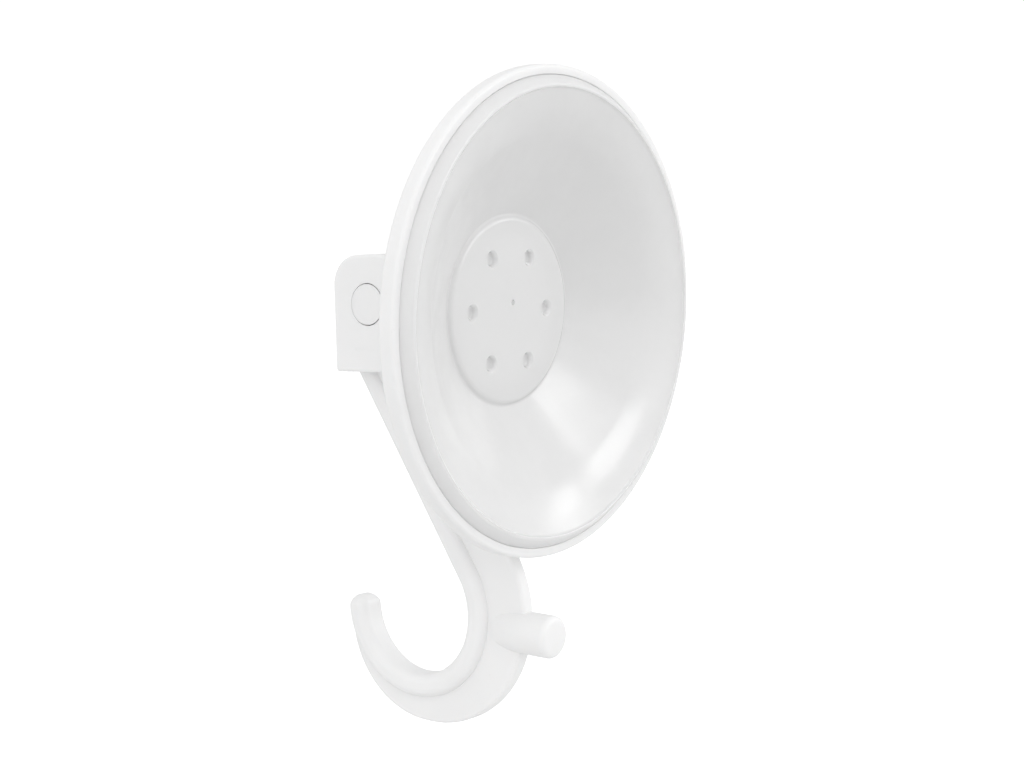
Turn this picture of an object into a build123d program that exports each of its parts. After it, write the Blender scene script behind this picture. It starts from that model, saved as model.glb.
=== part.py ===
from build123d import *
import math
import os

# A lever-lock suction cup hook. Lengths are in millimetres and angles in degrees.
# The origin is the centre of the cup's lip, in the plane that meets the wall.
# +Y points into the wall, +Z points up, and the hook is symmetrical about X = 0.
# A depth is how far a face lies behind the lip's plane, so it is a distance along -Y.

# Suction cup, soft clear plastic
lip_radius = 36.9
lip_land = 0.5
flange_width = 1.3
flange_front_depth = 1.7
flange_back_depth = 3.2
flange_root_inset = 2.5
shoulder_width = 5.3
shoulder_depth = 2.5
bowl_belly = 0.7
cup_wall = 2.2
pad_overhang = 1.0
pad_depth = 10.6
pad_rise = 0.8
hub_wall = 1.4
hub_back_wall = 4.5
dimple_radius = 1.15
dimple_depth = 1.1
dimple_circle_radius = 9.9
dimple_count = 6
gate_radius = 0.7
gate_depth = 0.3
gate_rise = 1.6

# Housing, the rigid dish behind the cup
rim_lip = 1.4
rim_front_depth = 1.6
rim_floor = 0.8
rim_front_bevel = 0.5
rim_back_bevel = 0.9
rim_back_bevel_depth = 0.4
seat_ring_width = 2.6
housing_wall = 2.0
crown_margin = 0.2
crown_bevel = 0.9
crown_inset = 1.4
collar_wall = 1.8
collar_height = 1.8
post_hole_corner = 0.5
rib_count = 8
rib_thickness = 1.4
rib_height = 1.8
rib_end_height = 0.55
rib_end_inset = 7.0
rib_root_run = 2.0

# Stud, the rigid anchor moulded into the cup's hub
anchor_radius = 13.0
anchor_thickness = 2.4
pad_skin = 1.5
post_thickness = 5.0
eye_wall = 1.8

# Pivot pin
pin_radius = 3.5
pin_recess = 0.15

# Lever head, whose foot bears on the housing's crown
head_half_width = 6.5
head_lean = 4.5
head_bottom_lean = 3.0
head_reach = 11.0
head_top = 8.5
head_outer_wall = 2.0
head_bottom = 11.2
head_corner_radius = 5.0
head_edge_bevel = 0.5
bore_mouth_chamfer = 0.45
cam_steps = 6

# Arm and hook
arm_root = 2.5
arm_overhang = 0.6
throat_radius = 11.9
throat_outward = 29.0
throat_below_rim = 12.0
bead_half_width = 2.35
bead_thickness = 3.4
bead_bevel = 0.95
tip_drop_angle = 6.0
web_half_thickness = 1.35
web_edge_bevel = 0.5
web_tip_setback = 4.0
belly_inset = 2.5
belly_thickness = 8.1
heel_thickness = 5.4

# Wall peg
peg_radius = 3.45
peg_below_throat = 1.2
peg_end_depth = 0.4
peg_end_bevel = 0.5
peg_overlap = 1.5
peg_cone_radius = 1.9
peg_cone_length = 6.0

# Clearances
flange_gap = 0.4
seat_gap = 0.3
hub_room = 2.6
crown_gap = 0.2
post_gap = 0.3
cheek_gap = 0.25
bore_running_gap = 0.08
eye_bore_gap = 0.03

# How far cutting bodies run past what they cut
overcut = 1.0

# Values that follow from the sizes above
flange_radius = lip_radius + flange_width
flange_root_radius = lip_radius - flange_root_inset
shoulder_radius = lip_radius - shoulder_width
seat_radius = flange_radius + flange_gap
rim_radius = seat_radius + rim_lip
seat_depth = flange_back_depth + seat_gap
rim_back_depth = seat_depth + rim_floor
slope_top_radius = seat_radius - seat_ring_width
rib_outer_radius = slope_top_radius - rib_end_inset
hub_radius = anchor_radius + hub_wall
pad_radius = hub_radius + pad_overhang
anchor_front_depth = pad_depth + pad_skin
anchor_back_depth = anchor_front_depth + anchor_thickness
hub_depth = anchor_back_depth + hub_back_wall
crown_radius = hub_radius + crown_margin
crown_inner_radius = crown_radius - crown_inset
crown_inside_depth = hub_depth + hub_room + collar_height
crown_depth = crown_inside_depth + housing_wall
pin_depth = crown_depth + crown_gap + head_reach
eye_radius = pin_radius + eye_wall
slot_radius = eye_radius + post_gap
head_outer = slot_radius + head_outer_wall
open_angle = 90 + head_lean
cam_pitch = (head_reach - head_top) / math.radians(open_angle)
past_head = 2 * (head_reach + head_bottom)
throat_drop = rim_radius + throat_below_rim
throat_centre = (-throat_outward, -throat_drop)
arm_foot = (-pin_depth - head_outer - arm_overhang, arm_root - head_bottom)
belly_centre = (belly_inset - throat_outward, -throat_drop)
belly_radius = throat_radius + belly_thickness
heel_radius = throat_radius + heel_thickness
peg_drop = throat_drop + peg_below_throat
tip_angle = tip_drop_angle - 180


def tangent_slope(start, centre, radius):
    """The lean from the vertical of a line that falls from start and touches a circle's wall side."""
    run, fall = centre[0] - start[0], centre[1] - start[1]
    return math.degrees(math.atan2(fall, run) + math.acos(-radius / math.hypot(run, fall)))


arm_slope = tangent_slope(arm_foot, throat_centre, throat_radius)


def across(profile, half_width):
    """A solid of an outline in the plane X = 0, reaching half_width to each side."""
    return extrude(Plane.YZ * profile, amount=half_width, both=True)


def around_axis(outline):
    """A solid turned about the suction axis from a closed outline of (radius, depth) points."""
    points = [(radius, -depth) for radius, depth in outline]
    return revolve(make_face(Polyline(*points, close=True)), Axis.Y)


def disc(radius, front_depth, back_depth):
    """A round disc on the suction axis."""
    return Plane.XZ.offset(front_depth) * extrude(Circle(radius), amount=back_depth - front_depth)


def along_pin(radius, half_length):
    """A cylinder about the pivot's axis."""
    return Pos(0, -pin_depth, 0) * across(Circle(radius), half_length)


def round_edges(shape, depth):
    """The circular edges of a turned shape that lie at a depth."""
    circles = shape.edges().filter_by(GeomType.CIRCLE)
    return [edge for edge in circles if math.isclose(edge.center().Y, -depth, abs_tol=0.01)]


def polar(centre, radius, angle):
    """A point in the plane X = 0 at an angle from +Y towards +Z."""
    turn = math.radians(angle)
    return (centre[0] + radius * math.cos(turn), centre[1] + radius * math.sin(turn))


def dimple_places():
    """The centres of the pad's dimples, spaced evenly round the suction axis."""
    return [polar((0, 0), dimple_circle_radius, 360 * k / dimple_count) for k in range(dimple_count)]


def cup_body():
    """The cup without its dimples, solid through the hub. Its bowl sags a little, by bowl_belly."""
    shoulder = (shoulder_radius, shoulder_depth)
    foot = (pad_radius + pad_rise, pad_depth + pad_rise)
    run, fall = shoulder[0] - foot[0], foot[1] - shoulder[1]
    sag = bowl_belly / math.hypot(run, fall)
    belly = ((shoulder[0] + foot[0]) / 2 - fall * sag, (shoulder[1] + foot[1]) / 2 + run * sag)
    return around_axis([
        (0, pad_depth), (pad_radius, pad_depth), foot, belly, shoulder,
        (lip_radius - lip_land, 0), (lip_radius, 0), (flange_radius, flange_front_depth),
        (flange_radius, flange_back_depth), (flange_root_radius, flange_back_depth),
        (shoulder_radius, shoulder_depth + cup_wall), (foot[0], foot[1] + cup_wall), (hub_radius, hub_depth),
        (0, hub_depth),
    ])


def suction_cup(anchor):
    """The soft cup, moulded round the stud, with blind dimples and a gate mark in its pad."""
    cup = cup_body()
    for x, z in dimple_places():
        cup -= Pos(x, 0, z) * disc(dimple_radius, 0, pad_depth + dimple_depth)
    cup -= Pos(0, 0, gate_rise) * disc(gate_radius, 0, pad_depth + gate_depth)
    return cup - anchor


def post():
    """The flat post with a round eye that the pivot pin goes through."""
    length = pin_depth - anchor_front_depth
    shank = Pos(-pin_depth, 0) * Rectangle(length, 2 * eye_radius, align=(Align.MIN, Align.CENTER))
    return across(shank + Pos(-pin_depth, 0) * Circle(eye_radius), post_thickness / 2)


def stud():
    """The anchor disc that the soft plastic is moulded over, and its post."""
    anchor = disc(anchor_radius, anchor_front_depth, anchor_back_depth)
    return anchor + post() - along_pin(pin_radius + eye_bore_gap, post_thickness)


def pivot_pin():
    """A plain round pin, a little short of the head's cheeks."""
    return along_pin(pin_radius, head_half_width - pin_recess)


def slope_depth(radius):
    """How deep the inner face of the housing's slope lies at a radius."""
    fall = (crown_inside_depth - seat_depth) / (slope_top_radius - crown_inner_radius)
    return seat_depth + (slope_top_radius - radius) * fall


def ribs():
    """Radial ribs on the inner face of the housing's slope, behind the cup."""
    inner = crown_inner_radius - rib_root_run
    buried = housing_wall / 2
    outline = [(inner, crown_inside_depth + buried), (inner, slope_depth(inner) - rib_height),
               (rib_outer_radius - rib_height, slope_depth(rib_outer_radius) - rib_end_height),
               (rib_outer_radius, slope_depth(rib_outer_radius) + buried)]
    points = [(radius, -depth) for radius, depth in outline]
    rib = extrude(make_face(Polyline(*points, close=True)), amount=rib_thickness / 2, both=True)
    return [Rot(0, (k + 0.5) * 360 / rib_count, 0) * rib for k in range(rib_count)]


def housing():
    """The rigid dish: a rim round the cup's flange, a slope, and a flat crown with a hole for the post."""
    shell = around_axis([
        (0, crown_depth), (crown_radius, crown_depth),
        (rim_radius - rim_back_bevel, rim_back_depth + rim_back_bevel_depth),
        (rim_radius, rim_back_depth), (rim_radius, rim_front_depth), (seat_radius, rim_front_depth),
        (seat_radius, seat_depth), (slope_top_radius, seat_depth), (crown_inner_radius, crown_inside_depth),
        (0, crown_inside_depth),
    ])
    shell = chamfer(round_edges(shell, crown_depth), crown_bevel)
    front_edges = round_edges(shell, rim_front_depth)
    shell = chamfer(max(front_edges, key=lambda edge: edge.radius), rim_front_bevel)
    hole_width = post_thickness + 2 * post_gap
    hole_height = 2 * slot_radius
    collar = Rectangle(hole_width + 2 * collar_wall, hole_height + 2 * collar_wall)
    collar_plane = Plane.XZ.offset(crown_inside_depth - collar_height)
    shell += collar_plane * extrude(collar, amount=collar_height + housing_wall / 2)
    shell += ribs()
    hole = extrude(RectangleRounded(hole_width, hole_height, post_hole_corner),
                   amount=collar_height + housing_wall + 2 * overcut)
    return shell - collar_plane * Pos(0, 0, -overcut) * hole


def cam_point(angle):
    """A point of the cam, whose reach falls evenly as the lever opens by angle."""
    turn = math.radians(angle)
    reach = head_reach - cam_pitch * turn
    return (reach * math.cos(turn) + cam_pitch * math.sin(turn),
            reach * math.sin(turn) - cam_pitch * math.cos(turn))


def crossing(normal_a, distance_a, normal_b, distance_b):
    """Where two lines cross, each given by the angle of its normal and its distance from the pin."""
    a, b = math.radians(normal_a), math.radians(normal_b)
    det = math.sin(b - a)
    return ((distance_a * math.sin(b) - distance_b * math.sin(a)) / det,
            (distance_b * math.cos(a) - distance_a * math.cos(b)) / det)


def head_blank():
    """The head about the pin: foot, cam, top, rounded outer corner and bottom."""
    top, outer, bottom = open_angle, 180 + head_lean, 270 + head_bottom_lean
    upper_corner = crossing(top, head_top, outer, head_outer)
    lower_corner = crossing(outer, head_outer, bottom, head_bottom)
    foot_corner = crossing(bottom, head_bottom, 0, head_reach)
    cam_points = [cam_point(open_angle * k / cam_steps) for k in range(cam_steps + 1)]
    cam = Spline(*cam_points, tangents=[(0, 1), polar((0, 0), 1, top + 90)])
    outline = make_face(Curve() + [cam, Polyline(cam @ 1, upper_corner, lower_corner, foot_corner, cam @ 0)])
    outline = fillet(outline.vertices().sort_by_distance(upper_corner)[0], head_corner_radius)
    outline = chamfer(outline.vertices().sort_by_distance(lower_corner)[0], head_edge_bevel)
    blank = Pos(0, -pin_depth, 0) * across(outline, head_half_width)
    return chamfer(blank.faces().filter_by(Axis.X).edges(), head_edge_bevel)


def head_slot():
    """The slot that lets the head swing about the post, from the foot round to the top."""
    corner = (Align.MIN, Align.MIN)
    towards_foot = Pos(0, -slot_radius) * Rectangle(past_head, past_head, align=corner)
    towards_top = Rot(0, 0, head_lean) * Pos(-slot_radius, 0) * Rectangle(past_head, past_head, align=corner)
    outline = Circle(slot_radius) + towards_foot + towards_top
    return Pos(0, -pin_depth, 0) * across(outline, post_thickness / 2 + cheek_gap)


def head_bores():
    """The bore through both cheeks, with a small chamfer at each mouth."""
    radius = pin_radius + bore_running_gap
    bore = along_pin(radius, head_half_width + overcut)
    for side in (1, -1):
        mouth = Plane((side * head_half_width, -pin_depth, 0), x_dir=(0, 1, 0), z_dir=(side, 0, 0))
        bore += mouth * Cone(radius, radius + bore_mouth_chamfer, bore_mouth_chamfer,
                             align=(Align.CENTER, Align.CENTER, Align.MAX))
    return bore


def beyond_head():
    """The space on the room side of the head's outer face."""
    face = Pos(0, -pin_depth, 0) * Rot(head_lean, 0, 0) * Pos(0, -head_outer, 0)
    return face * Box(past_head, past_head, past_head, align=(Align.CENTER, Align.MAX, Align.CENTER))


def arm_top(start):
    """Where a line that climbs the arm from start ends, inside the foot of the head."""
    rise = arm_foot[1] - start[1]
    return (start[0] - rise * math.tan(math.radians(arm_slope)), arm_foot[1])


def bead():
    """The rounded bead along the arm's room side and round the hook's throat to its tip."""
    outer = throat_radius + bead_thickness
    middle_angle = (arm_slope + tip_angle) / 2
    neck_in, neck_out = polar(throat_centre, throat_radius, arm_slope), polar(throat_centre, outer, arm_slope)
    tip_in, tip_out = polar(throat_centre, throat_radius, tip_angle), polar(throat_centre, outer, tip_angle)
    tip_centre = polar(throat_centre, throat_radius + bead_thickness / 2, tip_angle)
    outline = [
        Line(arm_top(neck_in), neck_in),
        ThreePointArc(neck_in, polar(throat_centre, throat_radius, middle_angle), tip_in),
        ThreePointArc(tip_in, polar(tip_centre, bead_thickness / 2, tip_angle - 90), tip_out),
        ThreePointArc(tip_out, polar(throat_centre, outer, middle_angle), neck_out),
        Polyline(neck_out, arm_top(neck_out), arm_top(neck_in)),
    ]
    blank = across(make_face(Curve() + outline), bead_half_width)
    return chamfer(blank.faces().filter_by(Axis.X).edges(), bead_bevel)


def web():
    """The thinner web outside the bead: the neck, the belly below it and the heel up to the tip."""
    heel_centre = (belly_centre[0], belly_centre[1] - belly_radius + heel_radius)
    inner = throat_radius + bead_thickness / 2
    inner_end_angle = tip_angle - web_tip_setback
    neck_in = polar(throat_centre, inner, arm_slope)
    tip_in = polar(throat_centre, inner, inner_end_angle)
    neck_out = polar(belly_centre, belly_radius, arm_slope)
    bottom = polar(belly_centre, belly_radius, -90)
    heel = polar(heel_centre, heel_radius, tip_angle)
    outline = [
        Line(arm_top(neck_in), neck_in),
        ThreePointArc(neck_in, polar(throat_centre, inner, (arm_slope + inner_end_angle) / 2), tip_in),
        Line(tip_in, heel),
        ThreePointArc(heel, polar(heel_centre, heel_radius, (tip_angle - 90) / 2), bottom),
        ThreePointArc(bottom, polar(belly_centre, belly_radius, (arm_slope - 90) / 2), neck_out),
        Polyline(neck_out, arm_top(neck_out), arm_top(neck_in)),
    ]
    blank = across(make_face(Curve() + outline), web_half_thickness)
    return chamfer(blank.faces().filter_by(Axis.X).edges(), web_edge_bevel)


def wall_peg():
    """The round peg that props the hook off the wall, with a cone that runs back over the web."""
    root_depth = peg_overlap - belly_centre[0] - belly_radius
    peg = disc(peg_radius, peg_end_depth, root_depth)
    peg = chamfer(peg.edges().sort_by(Axis.Y)[-1], peg_end_bevel)
    cone = around_axis([(0, root_depth), (peg_radius, root_depth),
                        (peg_cone_radius, root_depth + peg_cone_length), (0, root_depth + peg_cone_length)])
    return Pos(0, 0, -peg_drop) * (peg + cone)


def lever_hook():
    """The lever in one moulding: the cam head, the arm, the J hook and the wall peg."""
    arm = bead() + web() - beyond_head()
    return head_blank() + arm + wall_peg() - head_slot() - head_bores()


def write(shape, node):
    """Writes one node's solid to its own file."""
    export_step(shape.solid(), f"parts/{node}.step")


def main():
    os.makedirs("parts", exist_ok=True)
    anchor = stud()
    write(anchor, "stud")
    write(suction_cup(anchor), "suction_cup")
    write(pivot_pin(), "pivot_pin")
    write(housing(), "housing")
    write(lever_hook(), "lever_hook")


main()
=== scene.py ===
import math

import bmesh
import bpy
from bpy.props import FloatProperty, FloatVectorProperty, IntProperty, PointerProperty
from mathutils import Matrix, Quaternion, Vector


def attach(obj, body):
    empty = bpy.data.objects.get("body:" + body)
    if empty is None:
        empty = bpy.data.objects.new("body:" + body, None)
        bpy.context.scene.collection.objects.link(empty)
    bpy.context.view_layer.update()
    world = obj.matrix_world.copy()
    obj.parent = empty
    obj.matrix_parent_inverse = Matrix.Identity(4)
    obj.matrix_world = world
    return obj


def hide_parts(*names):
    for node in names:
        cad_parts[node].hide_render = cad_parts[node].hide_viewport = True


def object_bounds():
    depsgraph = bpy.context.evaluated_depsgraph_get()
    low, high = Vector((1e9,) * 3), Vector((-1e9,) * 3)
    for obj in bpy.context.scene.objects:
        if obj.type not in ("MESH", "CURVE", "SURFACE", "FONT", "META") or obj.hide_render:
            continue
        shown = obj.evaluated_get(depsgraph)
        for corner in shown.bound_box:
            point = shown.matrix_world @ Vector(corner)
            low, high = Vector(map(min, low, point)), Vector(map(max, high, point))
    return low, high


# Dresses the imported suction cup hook. Lengths are in metres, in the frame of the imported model:
# +Y points into the wall along the suction axis, +Z is up, and the origin is the centre of the cup's lip.
# A depth is how far a face lies behind the lip's plane, along -Y.

bl_info = {
    "name": "Suction cup hook",
    "version": (1, 0, 0),
    "blender": (4, 5, 0),
    "location": "3D View > Sidebar > Suction hook",
    "description": "Models the soft cup, the dish, the pin and the lever of a suction cup hook, and their finishes",
    "category": "Object",
}

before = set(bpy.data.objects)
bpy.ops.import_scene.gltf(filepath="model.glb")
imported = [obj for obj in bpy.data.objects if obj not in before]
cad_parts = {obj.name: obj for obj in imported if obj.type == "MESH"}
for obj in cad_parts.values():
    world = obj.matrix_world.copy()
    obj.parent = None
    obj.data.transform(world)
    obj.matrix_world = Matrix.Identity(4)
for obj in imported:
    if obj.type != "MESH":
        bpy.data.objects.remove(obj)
cad_low, cad_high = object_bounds()

MM = 0.001
CUT_PAST = 1.0 * MM     # how far a cutter runs past the face that it cuts
SLOT_REACH = 44.0 * MM  # how far the cutter of the lever's slot reaches from the pivot
BURIED = 0.02 * MM      # how deep a face lies under one that it would otherwise share a plane with
SLIVER = 2e-6           # a finished piece has no edge shorter than this

# In how many steps a full turn or an arc is made.
WIDE_STEPS, BORE_STEPS, FLOOR_STEPS, PIN_STEPS, PEG_STEPS, DIMPLE_STEPS = 192, 96, 96, 72, 64, 32
THROAT_STEPS, BELLY_STEPS, HEEL_STEPS, CAM_STEPS, TIP_STEPS = 72, 48, 36, 24, 16

# The camera, as fitted to the photograph's rim, lip, pad and dimples.
CAMERA_PLACE = (0.2609, 0.1909, 0.0219)
CAMERA_RIGHT = (-0.611, 0.791, 0.012)
CAMERA_UP = (-0.076, -0.074, 0.994)
SENSOR_WIDTH = 36.0
FOCAL_PER_WIDTH = 2000.0 / 1024.0


def grey(value):
    """An opaque grey."""
    return (value, value, value, 1.0)


def length(name, description, millimetres):
    """A property that holds a length, given in millimetres and kept in metres."""
    return FloatProperty(name=name, description=description, default=millimetres * MM, min=0.0, unit="LENGTH",
                         subtype="DISTANCE", precision=5)


def angle(name, description, degrees):
    """A property that holds an angle, given in degrees and kept in radians."""
    return FloatProperty(name=name, description=description, default=math.radians(degrees), subtype="ANGLE")


def power(name, description, watts):
    """A property that holds a light's power."""
    return FloatProperty(name=name, description=description, default=watts, min=0.0, unit="POWER")


def brightness(name, description, strength):
    """A property that holds how brightly something shines."""
    return FloatProperty(name=name, description=description, default=strength, min=0.0)


def paint(name, description, value):
    """A property that holds an opaque colour, which starts as a grey."""
    return FloatVectorProperty(name=name, description=description, default=grey(value), min=0.0, max=1.0, size=4,
                               subtype="COLOR")


class CupSizes(bpy.types.PropertyGroup):
    """Sizes of the soft cup."""
    lip_radius: length("Lip radius", "Radius of the cup's sealing edge", 36.9)
    lip_land: length("Lip land", "Width of the flat edge that seals on the wall", 0.5)
    flange_radius: length("Flange radius", "Outer radius of the flange inside the dish's rim", 38.35)
    flange_front: length("Flange front", "Depth of the flange's front edge", 1.68)
    flange_back: length("Flange back", "Depth of the flange's back", 3.2)
    flange_root: length("Flange root", "Radius where the flange meets the bowl's back", 34.4)
    shoulder_radius: length("Shoulder radius", "Radius of the soft shoulder inside the lip", 31.0)
    shoulder_depth: length("Shoulder depth", "Depth of the shoulder", 2.0)
    lip_step: length("Lip step", "How far the lip stands proud of the slope inside it", 0.35)
    belly: length("Belly", "How far the bowl sags behind a straight slope", 0.35)
    wall: length("Wall", "Thickness of the bowl along the suction axis", 2.2)
    pad_radius: length("Pad radius", "Radius of the raised centre pad", 15.2)
    pad_depth: length("Pad depth", "Depth of the pad's face", 10.6)
    pad_rise: length("Pad rise", "How far the pad stands proud of the bowl", 0.6)
    hub_radius: length("Hub radius", "Radius of the hub behind the bowl", 14.4)
    hub_depth: length("Hub depth", "Depth of the hub's back", 19.0)
    dimple_radius: length("Dimple radius", "Radius of the pad's dimples at their mouths", 1.15)
    dimple_depth: length("Dimple depth", "How deep the pad's dimples are", 0.9)
    dimple_circle: length("Dimple circle", "Radius of the circle that the dimples lie on", 9.9)
    dimple_count: IntProperty(name="Dimples", description="How many dimples the pad has", default=6, min=3, max=12)
    gate_radius: length("Gate radius", "Radius of the gate mark in the pad", 0.45)
    gate_rise: length("Gate rise", "How far the gate mark lies above the pad's centre", 1.3)
    gate_aside: length("Gate aside", "How far the gate mark lies beside the pad's centre", 0.7)
    anchor_radius: length("Anchor radius", "Radius of the stud's disc inside the hub", 13.0)
    anchor_front: length("Anchor front", "Depth of the front of the stud's disc", 12.1)
    anchor_back: length("Anchor back", "Depth of the back of the stud's disc", 14.5)
    post_height: length("Post height", "Height of the stud's post where it leaves the hub", 10.6)
    post_thickness: length("Post thickness", "Thickness of the stud's post", 5.0)
    moulded_gap: length("Moulded gap", "Room between the cup and the stud that it is moulded over", 0.03)


class DishSizes(bpy.types.PropertyGroup):
    """Sizes of the rigid dish behind the cup."""
    rim_radius: length("Rim radius", "Outer radius of the dish", 40.0)
    rim_lip: length("Rim lip", "Width of the rim's front face", 1.62)
    rim_front: length("Rim front", "Depth of the rim's front face", 1.6)
    rim_back: length("Rim back", "Depth of the rim's back edge", 4.3)
    rim_rounding: length("Rim rounding", "Rounding of the rim's outer front edge", 0.6)
    back_bevel: length("Back bevel", "How far the rim's back edge is drawn in", 0.9)
    back_bevel_depth: length("Back bevel depth", "How deep the rim's drawn-in back edge is", 0.4)
    seat_ring: length("Seat ring", "Width of the flat ring behind the cup's flange", 2.6)
    seat_depth: length("Seat depth", "Depth of the flat ring behind the cup's flange", 3.5)
    wall: length("Wall", "Thickness of the dish", 2.0)
    crown_radius: length("Crown radius", "Radius of the flat crown that the lever bears on", 14.6)
    crown_inset: length("Crown inset", "How much smaller the crown is inside", 1.4)
    crown_depth: length("Crown depth", "Depth of the crown's outer face", 25.4)
    crown_rounding: length("Crown rounding", "Rounding of the crown's edge", 1.6)
    hole_width: length("Hole width", "Width of the hole for the stud's post", 5.6)
    hole_height: length("Hole height", "Height of the hole for the stud's post", 11.2)
    hole_corner: length("Hole corner", "Rounding of the hole's corners", 0.5)
    collar_wall: length("Collar wall", "Wall of the collar round the hole", 1.8)
    collar_height: length("Collar height", "How far the collar stands inside the dish", 1.8)
    collar_corner: length("Collar corner", "Rounding of the collar's corners", 0.4)
    rib_count: IntProperty(name="Ribs", description="How many ribs stiffen the dish inside", default=8, min=3, max=16)
    rib_thickness: length("Rib thickness", "Thickness of a rib", 1.4)
    rib_height: length("Rib height", "Height of a rib at the crown", 1.8)
    rib_end_height: length("Rib end height", "Height of a rib at its outer end", 0.55)
    rib_reach: length("Rib reach", "Radius of the ribs' outer ends", 29.0)


class LeverSizes(bpy.types.PropertyGroup):
    """Sizes of the pin and of the lever, which is the head, the arm, the hook and the wall peg."""
    pin_depth: length("Pin depth", "Depth of the pivot's axis", 36.6)
    pin_radius: length("Pin radius", "Radius of the pivot pin", 3.5)
    pin_recess: length("Pin recess", "How far the pin's ends lie inside the cheeks", 0.04)
    pin_rounding: length("Pin rounding", "Rounding of the pin's ends", 0.06)
    bore_gap: length("Bore gap", "Running room between the pin and the bores", 0.14)
    bore_wear: length("Bore wear", "How far the bores have worn towards the wall", 0.13)
    mouth: length("Bore mouth", "Chamfer at the mouths of the bores", 0.03)
    head_half: length("Head half width", "Half the width of the head", 6.5)
    head_reach: length("Head reach", "From the pivot to the foot that bears on the dish", 11.0)
    head_top: length("Head top", "From the pivot to the head's top", 8.5)
    head_outer: length("Head outer", "From the pivot to the head's room side", 7.7)
    head_bottom: length("Head bottom", "From the pivot to the head's bottom", 11.6)
    top_lean: angle("Top lean", "How far the head's top slopes", 4.5)
    head_lean: angle("Head lean", "How far the head's room side leans in", 2.8)
    bottom_lean: angle("Bottom lean", "How far the head's bottom slopes", 3.0)
    head_corner: length("Head corner", "Rounding of the head's upper corner", 5.0)
    head_rounding: length("Head rounding", "Rounding of the head's edges", 0.6)
    line_length: length("Line length", "Length of the mould line across a cheek", 5.0)
    line_width: length("Line width", "Width of the mould line across a cheek", 0.3)
    line_depth: length("Line depth", "Depth of the mould line across a cheek", 0.06)
    line_drop: length("Line drop", "How far the mould line lies below the pivot", 7.7)
    slot_radius: length("Slot radius", "Radius of the slot about the stud's eye", 5.6)
    slot_half: length("Slot half width", "Half the width of the slot", 2.75)
    arm_slope: angle("Arm slope", "How far the arm leans from upright", 35.0)
    arm_root: length("Arm root", "How far the arm runs up inside the head", 2.5)
    throat_radius: length("Throat radius", "Radius of the hook's throat", 11.4)
    throat_outward: length("Throat outward", "Depth of the throat's centre", 29.0)
    throat_drop: length("Throat drop", "How far the throat's centre lies below the suction axis", 52.4)
    bead_half: length("Bead half width", "Half the width of the bead", 2.9)
    bead_thickness: length("Bead thickness", "Thickness of the bead", 4.05)
    bead_rounding: length("Bead rounding", "Rounding of the bead's edges", 1.7)
    tip_dome: FloatProperty(name="Tip dome", description="How far the hook's tip narrows like a ball", default=0.62,
                            min=0.0, max=1.0, subtype="FACTOR")
    tip_drop: angle("Tip drop", "How far the hook's tip lies below its centre's level", 6.0)
    web_half: length("Web half thickness", "Half the thickness of the web", 1.35)
    web_rounding: length("Web rounding", "Rounding of the web's edges", 0.6)
    web_setback: angle("Web setback", "How far the web runs past the bead's tip angle", 4.0)
    belly_radius: length("Belly radius", "Radius of the hook's wall side", 20.2)
    belly_inset: length("Belly inset", "How far the belly's centre lies on the throat's wall side", 2.9)
    belly_drop: length("Belly drop", "How far the belly's centre lies below the suction axis", 51.8)
    heel_radius: length("Heel radius", "Radius of the hook's room side", 17.1)
    web_flat: length("Web flat", "Length of the flat run under the hook", 1.2)
    peg_radius: length("Peg radius", "Radius of the wall peg", 3.6)
    peg_drop: length("Peg drop", "How far the wall peg lies below the suction axis", 53.55)
    peg_end: length("Peg end", "Depth of the peg's end", 0.4)
    peg_rounding: length("Peg rounding", "Rounding of the peg's end", 1.0)
    peg_root: length("Peg root", "Depth where the peg's cone starts", 8.0)
    peg_cone_radius: length("Peg cone radius", "Radius of the thin end of the peg's cone", 1.9)
    peg_cone_length: length("Peg cone length", "Length of the peg's cone", 6.0)
    peg_blend: length("Peg blend", "Rounding where the peg meets its cone", 2.5)


class Finishes(bpy.types.PropertyGroup):
    """Colours of the mouldings."""
    white: paint("White", "Colour of the dish and the lever", 0.87)
    white_shade: paint("White shade", "Colour of the dish and the lever in their cloudier patches", 0.845)
    pin: paint("Pin", "Colour of the pivot pin", 0.86)
    cup: paint("Cup", "Colour of the clear soft cup", 0.975)
    cup_cloud: paint("Cup cloud", "Colour of the cup where its plastic is cloudier", 0.95)
    dust: FloatVectorProperty(name="Dust", description="Colour of the dust that has settled on the mouldings",
                              default=(0.7, 0.69, 0.67, 1.0), min=0.0, max=1.0, size=4, subtype="COLOR")


class Studio(bpy.types.PropertyGroup):
    """The floor and the lights."""
    floor_drop: length("Floor drop", "How far the floor lies below the hook", 40.0)
    floor_radius: length("Floor radius", "Radius of the round floor", 3000.0)
    floor_near: paint("Floor near", "Colour that the floor casts back where the hook stands", 0.84)
    floor_far: paint("Floor far", "Colour that the floor casts back on the wall's side", 0.5)
    floor_seen: paint("Floor seen", "Colour of the floor as the camera sees it", 0.93)
    floor_fade: length("Floor fade", "How far on the wall's side the floor reaches its far colour", 350.0)
    key: power("Key light", "Power of the large soft light", 1.7)
    side: power("Side light", "Power of the smaller soft light", 0.6)
    fill: power("Fill light", "Power of the soft light that only fills shade", 2.2)
    floor_glow: brightness("Floor glow", "How brightly the floor itself shines to the camera", 0.4)
    backdrop: brightness("Backdrop", "Brightness of the room as the camera sees it", 1.05)
    bright: brightness("Bright side", "Brightness of the room where it is brightest", 1.41)
    dim: brightness("Dim side", "Brightness of the room where it is dimmest", 0.67)
    bright_way: FloatVectorProperty(name="Bright way", description="Where the room is brightest",
                                    default=(0.6, 0.78, -0.2), subtype="DIRECTION")


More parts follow.
